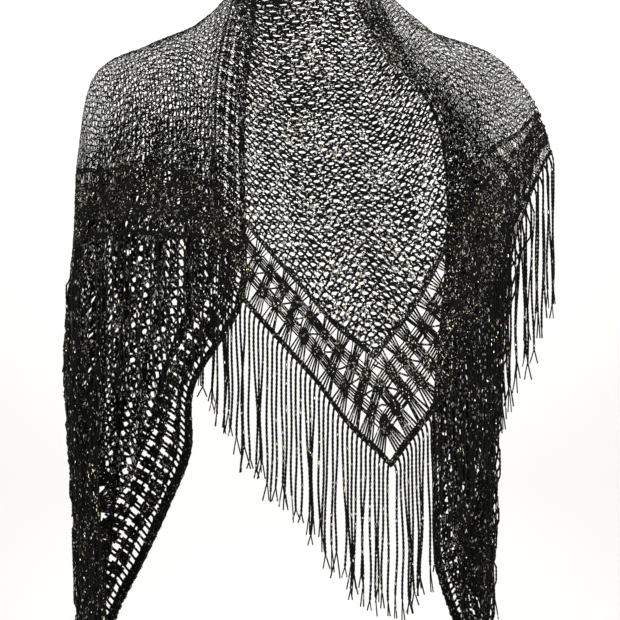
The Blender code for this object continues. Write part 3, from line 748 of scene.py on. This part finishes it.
SPIDER = 19.0  # from one spider to the next
SPIDER_ROWS = (19.5, 37.5)
BORDER_START = 1.6  # where the border's threads end in the braid
LAST_SPIDER = 42  # spiders in a row, after the two at the point
BUNDLE = 6  # threads from spider to spider
BUNDLE_GAP = 2.1  # between two threads of a bundle
SPIDER_WAIST = 0.45  # the bundle's share of its width inside a spider
FAN = 1.6  # how far the threads spread where a bundle ends in the braid or in the rib
SPIDER_RADIUS = 5.8
BUNDLE_YARN = 0.82
SPIDER_YARN = 1.3
SPIDER_TURNS = 3
OVER = 0.5  # lift of the wound yarn where it goes over the bundles,
UNDER = -0.4  # and where it goes under them
TURN_POINTS = 10
SPIRAL_START = 0.18  # the innermost turn's share of the spider's radius
SPIDER_SIZES = (0.88, 1.08)
BUNDLE_VARIES = 0.08
THREAD_VARIES = 0.15
THREAD_LIFT = 0.25
BUNDLE_MIDDLE = 0.95  # the bundle's share of its width between two spiders
TIE_REACH = 0.8  # how far out of a spider's middle a pair of tie threads starts
TIE_ASIDE = 0.6
TIE_YARN = 0.5
TIP_BORDER = 0.6  # the border's share of a tail's narrow end


def lay(wire, points, yarn):
    """Lay one thread through points, with one radius or a radius for each of them."""
    radius = wire.verts.layers.float["yarn radius"]
    thick = np.broadcast_to(yarn, len(points))
    vertices = [wire.verts.new(tuple(point)) for point in points]
    for vertex, size in zip(vertices, thick):
        vertex[radius] = size
    for pair in zip(vertices, vertices[1:]):
        wire.edges.new(pair)


def flat_point(place, lift=0.0):
    """A place on the chart with its lift from the cloth."""
    return (float(place[0]), float(place[1]), lift)


def bundle(wire, start, end, to_spider=True):
    """A bundle of straight threads that starts in one spider and may end in another."""
    start, end = np.array(start, float), np.array(end, float)
    length = np.linalg.norm(end - start)
    run = (end - start) / length
    square = np.array([-run[1], run[0]])
    for number in range(BUNDLE):
        aside = square * (number - (BUNDLE - 1) / 2) * BUNDLE_GAP
        aside = aside * (1 + BUNDLE_VARIES * wobble.normal())
        points = [
            start + run + aside * SPIDER_WAIST,
            start + run * SPIDER_RADIUS + aside * BUNDLE_MIDDLE,
        ]
        if to_spider:
            points.append(end - run * SPIDER_RADIUS + aside * BUNDLE_MIDDLE)
            points.append(end - run + aside * SPIDER_WAIST)
        else:
            points.append(end + aside * FAN)
        yarn = BUNDLE_YARN * (1 + THREAD_VARIES * float(np.clip(wobble.normal(), -2, 2)))
        lay(wire, [flat_point(point, THREAD_LIFT * wobble.normal()) for point in points], yarn)


def spider(wire, centre):
    """The wound middle of a spider, a flat spiral that goes over and under the bundles."""
    count = SPIDER_TURNS * TURN_POINTS
    turn = wobble.uniform(0, 2 * math.pi)
    size = SPIDER_RADIUS * wobble.uniform(*SPIDER_SIZES)
    points = []
    for number in range(count + 1):
        angle = turn + number * 2 * math.pi / TURN_POINTS
        out = size * (SPIRAL_START + (1 - SPIRAL_START) * number / count)
        place = (centre[0] + math.cos(angle) * out, centre[1] + math.sin(angle) * out)
        points.append(flat_point(place, OVER if number % 2 else UNDER))
    lay(wire, points, SPIDER_YARN)


def tie(wire, start, end):
    """The short pair of threads straight across between two spiders at the same height."""
    start, end = np.array(start, float), np.array(end, float)
    run = (end - start) / np.linalg.norm(end - start)
    square = np.array([-run[1], run[0]])
    for aside in (-TIE_ASIDE, TIE_ASIDE):
        near = start + run * SPIDER_RADIUS * TIE_REACH + square * aside
        far = end - run * SPIDER_RADIUS * TIE_REACH + square * aside
        middle = (near + far) / 2 - square * aside * 0.5
        lay(wire, [flat_point(near), flat_point(middle), flat_point(far)], TIE_YARN)


def cloth_width(side, distance):
    """Width of the chart, square to the fringed edge, at a distance along it."""
    return NECK[0] * (LEG[side] - distance) / (LEG[side] - NECK[0])


def squeeze_tips(wire):
    """Narrow the border towards the tails' tips, where the cloth runs out."""
    for vertex in wire.verts:
        side, axis = ("left", 1) if vertex.co.x > vertex.co.y else ("right", 0)
        inward = vertex.co[axis]
        if inward < BORDER_START:
            continue
        room = TIP_BORDER * cloth_width(side, vertex.co[1 - axis]) - BORDER_START
        squeeze = min(1.0, max(room, 1.0) / (HEM_WIDTH - BORDER_START))
        vertex.co[axis] = BORDER_START + (inward - BORDER_START) * squeeze


def mirrored(place, side):
    """A border place given as distance along the edge and inwards, on either side's axes."""
    return place if side == "left" else (place[1], place[0])


wobble = np.random.RandomState(5)
BORDER_FLAT = 0.7
BORDER_ON_TAILS = 1.8
BORDER_YARN = yarn_material(
    "border yarn",
    {
        "Yarn": (0.0045, 0.0042, 0.0035, 1),
        "Silver": (0.60, 0.59, 0.52, 1),
        "Gold": (0.52, 0.47, 0.33, 1),
        "Glints": 0.09,
        "Glint Scale": 1300.0,
        "Warmth": 0.35,
    },
)

outer_row, inner_row = SPIDER_ROWS
further = [inner_row + SPIDER * (number + 1) for number in range(LAST_SPIDER)]
along_edge = [outer_row, inner_row, *further]
for side in ("left", "right"):
    wire = fresh_wire()
    for number, distance in enumerate(along_edge):
        at_point = distance <= inner_row  # both edges share these spiders, so only one side makes them
        for inward in SPIDER_ROWS:
            here = (distance, inward)
            if side == "left" or not at_point:
                spider(wire, mirrored(here, side))
            if distance < along_edge[-1]:
                ahead = (along_edge[number + 1], inward)
                bundle(wire, mirrored(here, side), mirrored(ahead, side))
                if inward == outer_row:
                    tie(wire, mirrored(ahead, side), mirrored((distance, inner_row), side))
        braid_end, outer, inner, rib_end = (
            mirrored((distance, inward), side) for inward in (BORDER_START, outer_row, inner_row, HEM_WIDTH)
        )
        if not at_point:
            bundle(wire, outer, inner)
            bundle(wire, inner, rib_end, False)
        bundle(wire, outer, braid_end, False)
    squeeze_tips(wire)
    name = f"{side}_spider_border"
    draped_piece(name, wire, BORDER_FLAT, BORDER_YARN, BORDER_ON_TAILS)
left_nodes = ("front_border", "left_arm_border", "left_tail_border", "left_tail_tip")
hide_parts(*left_nodes)
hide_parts("right_arm_border", "right_tail_border", "right_tail_tip")


# The plaits
# Four threads plaited together finish the cloth: the braid along the fringed edges, the rib
# between border and net, and the rail along the plain edge.

PLAIT_STEP = 1.6
PLAIT_DEPTH = 0.55 / 0.6  # how far a thread rises and sinks, as a share of its radius
PLAIT_ON_TAILS = 1.3
TAIL_STOP = 852.0  # the last of the fringed edge, before the tail's end is drawn together
BRAID_INSET = 0.4
BRAID = {"threads": 4, "reach": 1.7, "repeat": 9.5, "yarn": 0.85}
BRAID_PAST = 15.0  # how much further the braid runs on the right
RIB_PLAIT = {"threads": 4, "reach": 2.0, "repeat": 11.0, "yarn": 0.7}
CORNER_TURN = 4.0  # length over which the inward direction turns at the point
NECK_TURN = 60.0  # and at the middle of the plain edge


def corner_place(corner, distance):
    """A place on a line parallel to the fringed edges, and its inward direction."""
    base = np.array([corner + max(-distance, 0.0), corner + max(distance, 0.0)])
    turn = np.clip(distance / CORNER_TURN + 0.5, 0, 1)
    inward = np.array([turn, 1 - turn])
    return base, inward / np.linalg.norm(inward)


def edge_place(inset, distance):
    """A place along the plain edge, negative on the left, and the direction out of the cloth."""
    side = "left" if distance < 0 else "right"
    run = (TIPS[side] - NECK) / np.linalg.norm(TIPS[side] - NECK)
    turn = np.clip(distance / NECK_TURN + 0.5, 0, 1)
    square = edge_outwards("left") * (1 - turn) + edge_outwards("right") * turn
    square = square / np.linalg.norm(square)
    return NECK + run * abs(distance) - square * inset, square


def plait(wire, place_on, at, start, end, threads, reach, repeat, yarn):
    """Threads that cross each other from side to side along a line.

    They swing as far as reach to either side of it, and come back after each repeat.
    """
    count = int((end - start) / PLAIT_STEP)
    for thread in range(threads):
        phase = thread / threads * 2 * math.pi
        points = []
        for number in range(count + 1):
            distance = start + (end - start) * number / count
            base, square = place_on(at, distance)
            angle = distance / repeat * 2 * math.pi + phase
            place = base + square * reach * math.sin(angle)
            points.append(flat_point(place, PLAIT_DEPTH * yarn * math.cos(2 * angle + phase)))
        lay(wire, points, yarn)


edge_length = {side: np.linalg.norm(TIPS[side] - NECK) for side in ("left", "right")}
BRAID_YARN = yarn_material(
    "braid yarn",
    {
        "Yarn": (0.0035, 0.0035, 0.003, 1),
        "Silver": (0.60, 0.58, 0.50, 1),
        "Gold": (0.5, 0.42, 0.25, 1),
        "Glints": 0.06,
        "Glint Scale": 1200.0,
        "Warmth": 0.5,
    },
)
wire = fresh_wire()
plait(wire, corner_place, BRAID_INSET, -TAIL_STOP, TAIL_STOP + BRAID_PAST, **BRAID)
hem_braid = draped_piece("hem_braid", wire, BORDER_FLAT, BRAID_YARN, PLAIT_ON_TAILS)

wire = fresh_wire()
plait(wire, corner_place, HEM_WIDTH, -TAIL_STOP + HEM_WIDTH, TAIL_STOP - HEM_WIDTH, **RIB_PLAIT)
squeeze_tips(wire)
inner_rib = draped_piece("inner_rib", wire, BORDER_FLAT, BRAID_YARN, PLAIT_ON_TAILS)


# The narrow border along the plain edge
# Two rows of small square spiders, half as far apart as the wide border's, behind a plaited rail.

SMALL_SPIDER = 9.3
SMALL_ROWS = (12.0, 21.5)
SMALL_RADIUS = 4.5
SMALL_BUNDLE = 2
SMALL_GAP = 3.2
SMALL_STEPS = 14  # corners of a spider's square spiral, after the first
SMALL_START = 0.3  # the spiral's innermost corner, as a share of its radius
SMALL_LIFT = 0.4
SMALL_YARN = 0.95
SMALL_THREAD = 0.62
RAIL_THREAD = 0.55
RAIL_SPREAD = 0.6  # how far the two threads to the rail spread, as a share of the pitch
EDGE_STOP = 20.0  # how long before the last rib the spiders end
RAIL_INSET = 3.0
RAIL_STOP = 6.0
RAIL = {"threads": 4, "reach": 2.3, "repeat": 8.0, "yarn": 1.25}
INNER_STOP = 70.0
INNER_PLAIT = {"threads": 3, "reach": 1.0, "repeat": 8.0, "yarn": 0.55}


def small_spiders(wire, side):
    """The small spiders of one half of the plain edge, with the threads between them."""
    last = int((edge_length[side] * LAST_RIB - EDGE_STOP) / SMALL_SPIDER)
    sign = -1 if side == "left" else 1
    for number in range(last + 1):
        for row, inset in enumerate(SMALL_ROWS):
            distance = sign * (number + 0.5) * SMALL_SPIDER
            base, square = edge_place(inset, distance)
            lean = math.atan2(square[1], square[0])
            points = []
            for step in range(SMALL_STEPS + 1):
                angle = (step + 0.5) * math.pi / 2 + lean
                out = SMALL_RADIUS * (SMALL_START + (1 - SMALL_START) * step / SMALL_STEPS)
                place = base + np.array([math.cos(angle), math.sin(angle)]) * out
                points.append(flat_point(place, SMALL_LIFT if step % 2 else -SMALL_LIFT))
            lay(wire, points, SMALL_YARN)
            ahead, _ = edge_place(inset, distance + sign * SMALL_SPIDER)
            below = base - square * (SMALL_ROWS[1] - SMALL_ROWS[0])
            for other in (ahead, below):
                run = (other - base) / np.linalg.norm(other - base)
                across = np.array([-run[1], run[0]])
                for thread in range(SMALL_BUNDLE):
                    aside = across * (thread - (SMALL_BUNDLE - 1) / 2) * SMALL_GAP
                    lay(wire, [flat_point(base + aside), flat_point(other + aside)], SMALL_THREAD)
            if row == 0:
                beside = np.array([-square[1], square[0]])
                for aside in (-0.5, 0.5):
                    near = base + beside * aside * SMALL_RADIUS
                    far = base + square * inset + beside * aside * SMALL_SPIDER * RAIL_SPREAD
                    lay(wire, [flat_point(near), flat_point(far)], RAIL_THREAD)


wire = fresh_wire()
for side in ("left", "right"):
    small_spiders(wire, side)
edge_lace = draped_piece("edge_lace", wire, BORDER_FLAT, BORDER_YARN, BORDER_ON_TAILS)
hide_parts("neckline")
for side in ("left", "right"):
    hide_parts(f"{side}_shoulder_edge", f"{side}_tail_edge")

wire = fresh_wire()
start = -edge_length["left"] * LAST_RIB + RAIL_STOP
end = edge_length["right"] * LAST_RIB - RAIL_STOP
plait(wire, edge_place, RAIL_INSET, start, end, **RAIL)
plait(wire, edge_place, EDGE_WIDTH, start + INNER_STOP, end - INNER_STOP, **INNER_PLAIT)
edge_rail = draped_piece("edge_rail", wire, BORDER_FLAT, BRAID_YARN, PLAIT_ON_TAILS)


# The fringe
# Chained strands of the same yarn, three to a spider in front, looped into the braid.  Each leaves the
# braid outwards and turns down at once.  Some cling to their neighbours, and the ends part.

STRAND_PITCH = SPIDER / 3
STRAND_LENGTH = 143.0
STRAND_VARIES = 8.0
STRAND_STEP = 1.9
STRAND_YARN = 1.08
CHAIN_DEPTH = 0.16  # how much the links of the chain swell
ROOT_REACH = 4.5
ROOT_DROP = 9.0
ROOT_POINTS = 5
FORK = 22.0  # the length of the parted end
FORK_VARIES = (0.4, 1.1)
FORK_OPENS = (1.5, 5.0)
FORK_YARN = 0.62
CLING = 0.4  # share of the strands that cling to the next one
CLING_REACH = (0.4, 0.9)
CLING_FROM = 0.10  # how far down a strand begins to cling
CLING_OVER = 0.45
SWAY = 1.6
RIPPLE = (1.1, 0.7)  # size of a strand's waves, across and in depth
RIPPLE_TURNS = (9.0, 7.0)
ASIDE = (-0.3, 1.0)
DRIFT_POWER = 0.7

FRINGE_YARN = yarn_material(
    "fringe yarn",
    {
        "Yarn": (0.0035, 0.0035, 0.003, 1),
        "Silver": (0.70, 0.70, 0.66, 1),
        "Gold": (0.6, 0.5, 0.3, 1),
        "Glints": 0.05,
        "Glint Scale": 900.0,
        "Warmth": 0.3,
    },
)


def strand_roots(side, first, last, pitch):
    """Places of the strands' roots in space, and their directions out of the cloth's edge."""
    count = int((last - first) / pitch)
    sign = -1 if side == "left" else 1
    distances = first + pitch * (np.arange(count) + 0.5)
    inner = np.array([corner_place(0.0, sign * distance)[0] for distance in distances])
    inward = np.array([corner_place(0.0, sign * distance)[1] for distance in distances])
    still = np.zeros(count)
    root = drape(inner - inward * 1.0, still)
    beyond = drape(inner - inward * 2.0, still)
    face = drape(inner - inward * 1.0, still + 1.0) - root
    out = beyond - root
    return root, out / np.linalg.norm(out, axis=1)[:, None], face


def hang(wire, root, out, aside, length, cling):
    """One strand: out of the braid, round and down, with its sway and its parted end."""
    down = np.array([0.0, 0.0, -1.0])
    knee = root + out * ROOT_REACH
    low = knee + down * ROOT_DROP + aside
    points = []
    for share in np.linspace(0, 1, ROOT_POINTS + 1)[:-1]:
        points.append(root * (1 - share) ** 2 + knee * 2 * share * (1 - share) + low * share**2)
    steps = int((length - ROOT_DROP) / STRAND_STEP)
    sway = loose.normal(size=2) * SWAY
    turn = loose.uniform(0, 6)
    split_at = steps - int(FORK * loose.uniform(*FORK_VARIES) / STRAND_STEP)
    line = []
    for number in range(steps + 1):
        share = number / steps
        drift = np.array([sway[0], sway[1], 0]) * share**1.5
        across = RIPPLE[0] * math.sin(share * RIPPLE_TURNS[0] + turn)
        deep = RIPPLE[1] * math.cos(share * RIPPLE_TURNS[1] + turn)
        ripple = np.array([across, deep, 0])
        pulled = cling * min(1.0, max(0.0, (share - CLING_FROM) / CLING_OVER))
        line.append(low + down * (length - ROOT_DROP) * share + drift + ripple * share + pulled)
    body = points + line[:split_at]
    swell = [CHAIN_DEPTH if number % 2 else -CHAIN_DEPTH for number in range(len(body))]
    lay(wire, body, STRAND_YARN * (1 + np.array(swell)))
    spread = loose.uniform(*FORK_OPENS)
    heading = loose.uniform(0, 2 * math.pi)
    way = np.array([math.cos(heading), 0.5 * math.sin(heading), 0])
    for sign in (-1, 1):
        end = [line[split_at - 1]]
        for number in range(split_at, steps + 1, 2):
            share = (number - split_at + 1) / (steps + 1 - split_at)
            end.append(line[number] + way * sign * spread * share)
        lay(wire, end, STRAND_YARN * FORK_YARN)


def fringe_piece(name, side, first, last, pitch, spread, inwards):
    """A length of the fringe, with its strands this pitch apart along the edge.

    Spread is how far strands that hang over each other stand apart, and inwards is how far they
    drift over the cloth.
    """
    root, out, face = strand_roots(side, first, last, pitch)
    wire = fresh_wire()
    for number in range(len(root)):
        cling = np.zeros(3)
        if loose.uniform() < CLING and 0 < number < len(root) - 1:
            other = number + loose.choice((-1, 1))
            cling = (root[other] - root[number]) * loose.uniform(*CLING_REACH)
            cling[2] = 0.0
        cling[0] += inwards * loose.uniform(0, 1) ** DRIFT_POWER
        length = STRAND_LENGTH + STRAND_VARIES * float(np.clip(loose.normal(), -1.3, 1.1))
        sideways = np.array([out[number][0], out[number][1], 0])
        aside = face[number] * loose.uniform(0, 1) + sideways * loose.uniform(*ASIDE)
        hang(wire, root[number], out[number], aside * spread, length, cling)
    radius = wire.verts.layers.float["yarn radius"]
    for vertex in wire.verts:
        vertex.co *= MM
        vertex[radius] *= MM
    piece = yarn_piece(name, wire, 1.0, FRINGE_YARN)
    return piece


loose = np.random.RandomState(23)
SHOULDER_END = {"left": 433.0, "right": 395.0}  # where the arm's length of fringe ends
SIDE_PITCH = {"left": STRAND_PITCH, "right": 12.0}  # the strands hang thinner on the right
TAIL_DRIFT = {"left": 30.0, "right": -34.0}  # how far the tails' strands lie over the cloth
fringes = {}
for side in ("left", "right"):
    end = SHOULDER_END[side]
    # Columns: part, first and last place along the edge, pitch, spread, inwards, the part it replaces.
    lengths = (
        ("front", 0.0, CREASE_AT, STRAND_PITCH, 0.6, 0.0, f"fringe_front_{side}"),
        ("arm", CREASE_AT, end, SIDE_PITCH[side], 1.0, 0.0, f"fringe_{side}_arm"),
        ("tail", end, TAIL_STOP, SIDE_PITCH[side], 6.0, TAIL_DRIFT[side], f"fringe_{side}_tail"),
    )
    for part, first, last, pitch, spread, inwards, replaced in lengths:
        piece = fringe_piece(f"{side}_{part}_strands", side, first, last, pitch, spread, inwards)
        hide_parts(replaced)
        fringes[side, part] = piece


# The front's borders, plaits and fringe
# The lace is knitted to shape as one flat triangle with a right angle at the point; its borders, plaits and
# front fringe are gathered in one list.

front_with = [edge_lace, edge_rail, inner_rib, hem_braid]
front_with += [fringes["left", "front"], fringes["right", "front"]]


# The floor and the backdrop
# One pale sheet of paper, which lies on the floor and sweeps up far behind the shawl.

FLOOR = -1.42
BACKDROP = 5.2
BACKDROP_BEND = 0.6
BACKDROP_TALL = 4.0
PAPER_FRONT = -5.0
PAPER_WIDE = 12.0
shape = bmesh.new()
first = shape.verts.new((-PAPER_WIDE / 2, PAPER_FRONT, FLOOR))
last = shape.verts.new((-PAPER_WIDE / 2, BACKDROP - BACKDROP_BEND, FLOOR))
shape.edges.new((first, last))
turned = bmesh.ops.spin(
    shape,
    geom=[last],
    cent=(-PAPER_WIDE / 2, BACKDROP - BACKDROP_BEND, FLOOR + BACKDROP_BEND),
    axis=(1, 0, 0),
    angle=math.radians(90),
    steps=16,
)
top = [item for item in turned["geom_last"] if isinstance(item, bmesh.types.BMVert)]
raised_top = bmesh.ops.extrude_vert_indiv(shape, verts=top)
bmesh.ops.translate(shape, verts=raised_top["verts"], vec=(0, 0, BACKDROP_TALL))
wide = bmesh.ops.extrude_edge_only(shape, edges=shape.edges[:])
far = [item for item in wide["geom"] if isinstance(item, bmesh.types.BMVert)]
bmesh.ops.translate(shape, verts=far, vec=(PAPER_WIDE, 0, 0))
bmesh.ops.recalc_face_normals(shape, faces=shape.faces)
mesh = bpy.data.meshes.new("backdrop")
shape.to_mesh(mesh)
shape.free()
for polygon in mesh.polygons:
    polygon.use_smooth = True
backdrop = bpy.data.objects.new("backdrop", mesh)
bpy.context.scene.collection.objects.link(backdrop)
paper = bpy.data.materials.new("pale paper")
paper.use_nodes = True
paper_shader = paper.node_tree.nodes["Principled BSDF"]
paper_shader.inputs["Base Color"].default_value = (0.86, 0.855, 0.845, 1)
paper_shader.inputs["Roughness"].default_value = 0.9
backdrop.data.materials.append(paper)


# The light and the camera
# Two soft lamps in front, one for the backdrop, and a camera that looks straight at the shawl.


def lamp(name, place, aim, size, power, colour):
    """A soft square light."""
    light = bpy.data.lights.new(name, "AREA")
    light.shape = "SQUARE"
    light.size = size
    light.energy = power
    light.color = colour
    thing = bpy.data.objects.new(name, light)
    thing.location = place
    thing.rotation_euler = (Vector(aim) - Vector(place)).to_track_quat("-Z", "Y").to_euler()
    bpy.context.scene.collection.objects.link(thing)


SHAWL_MIDDLE = (0, 0, -0.25)
lamp("key light", (-1.1, -1.8, 0.9), SHAWL_MIDDLE, size=1.2, power=32, colour=(1, 1, 1))
lamp("fill light", (1.5, -1.5, 0.2), SHAWL_MIDDLE, size=1.4, power=16, colour=(1, 0.99, 0.97))
backdrop_aim = (0, BACKDROP, -0.3)
lamp("backdrop light", (0.0, 2.6, 2.2), backdrop_aim, size=2.0, power=95, colour=(1, 0.995, 0.98))

bpy.context.scene.view_settings.view_transform = "Standard"
world = bpy.data.worlds.new("pale room")
bpy.context.scene.world = world
world.use_nodes = True
room = world.node_tree.nodes["Background"]
room.inputs["Color"].default_value = (1, 1, 1, 1)
room.inputs["Strength"].default_value = 0.52

CAMERA_FAR = 2.0
VIEW_CENTRE = (0.0095, -0.05, -0.242)
VIEW_WIDTH = 0.589
camera_data = bpy.data.cameras.new("camera")
camera_data.sensor_width = 36.0
camera_data.lens = 36.0 * CAMERA_FAR / VIEW_WIDTH
camera = bpy.data.objects.new("camera", camera_data)
camera.location = (VIEW_CENTRE[0], VIEW_CENTRE[1] - CAMERA_FAR, VIEW_CENTRE[2])
camera.rotation_euler = (math.radians(90), 0, 0)
bpy.context.scene.collection.objects.link(camera)
bpy.context.scene.camera = camera
